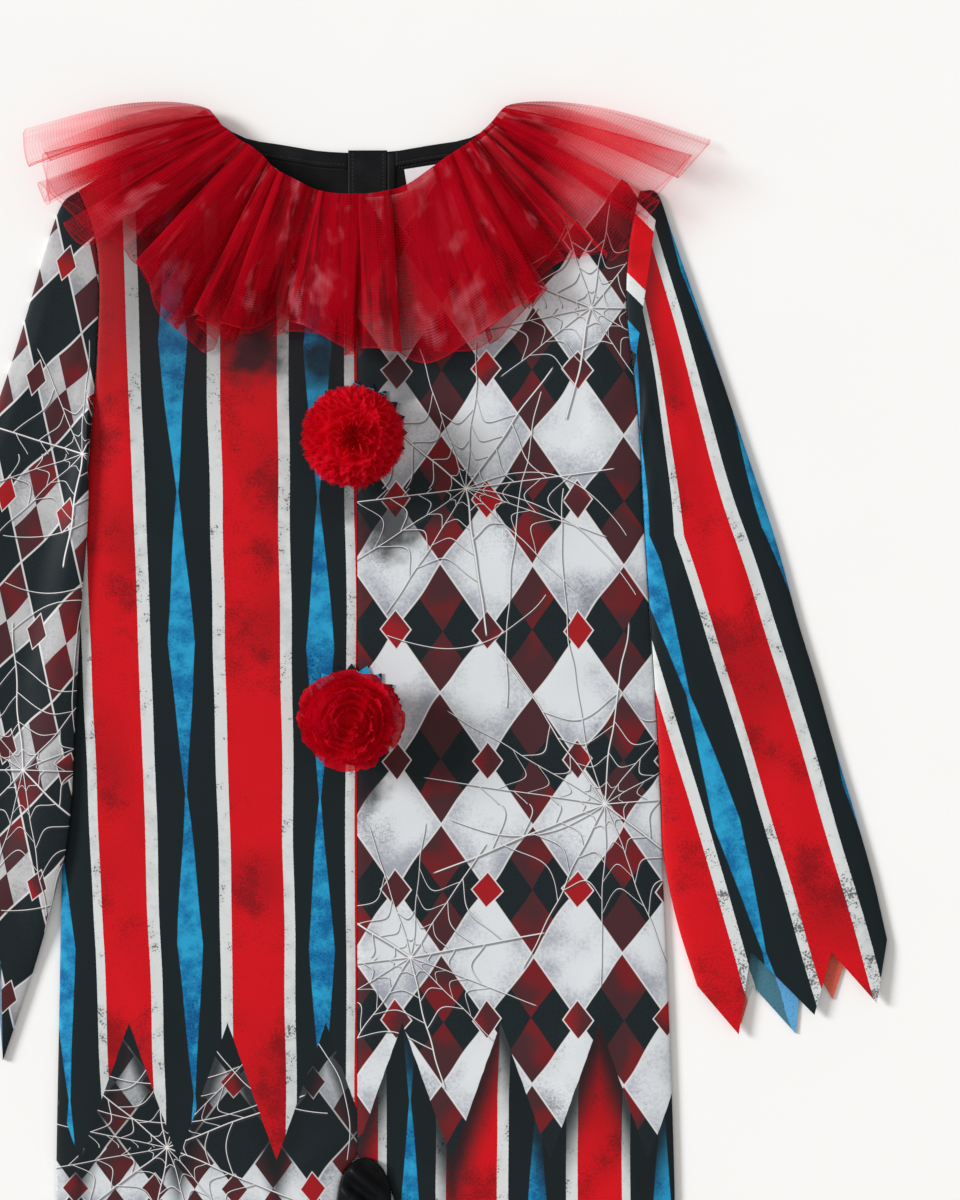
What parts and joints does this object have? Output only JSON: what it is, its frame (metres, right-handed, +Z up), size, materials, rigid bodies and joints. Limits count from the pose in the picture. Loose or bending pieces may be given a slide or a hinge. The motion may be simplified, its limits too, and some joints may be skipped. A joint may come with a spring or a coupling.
{
  "type": "clown costume",
  "caption": "Child's clown all-in-one laid flat, with a gathered net ruff, net pompoms, dagged sleeves, one half striped and the other in harlequin diamonds.",
  "frame": {"origin": "middle of the garment's length and width, on the surface it lies on", "axes": "+X towards the wearer's left, +Y from the ankle hems to the shoulders, +Z up from the surface"},
  "size_m": [0.6792, 1.1547, 0.0529],
  "materials": {
    "harlequin_cloth": "satin",
    "striped_cloth": "satin",
    "black_cloth": "matte",
    "red_net": "sheer",
    "disc_cloth": "satin",
    "label_tape": "satin"
  },
  "bodies": {
    "root": {"front_left": "harlequin_cloth", "front_right": "striped_cloth", "back_left": "black_cloth", "back_right": "black_cloth", "crotch_fold": "black_cloth", "sleeve_left": "striped_cloth", "sleeve_right": "harlequin_cloth", "ruff_upper": "red_net", "ruff_under": "red_net", "neck_band_left": "black_cloth", "neck_band_right": "black_cloth", "placket_upper": "black_cloth", "placket_under": "black_cloth", "neck_label": "label_tape", "pompom_disc_upper": "disc_cloth", "pompom_disc_lower": "disc_cloth", "pompom_upper": "red_net", "pompom_lower": "red_net"}
  },
  "joints": []
}
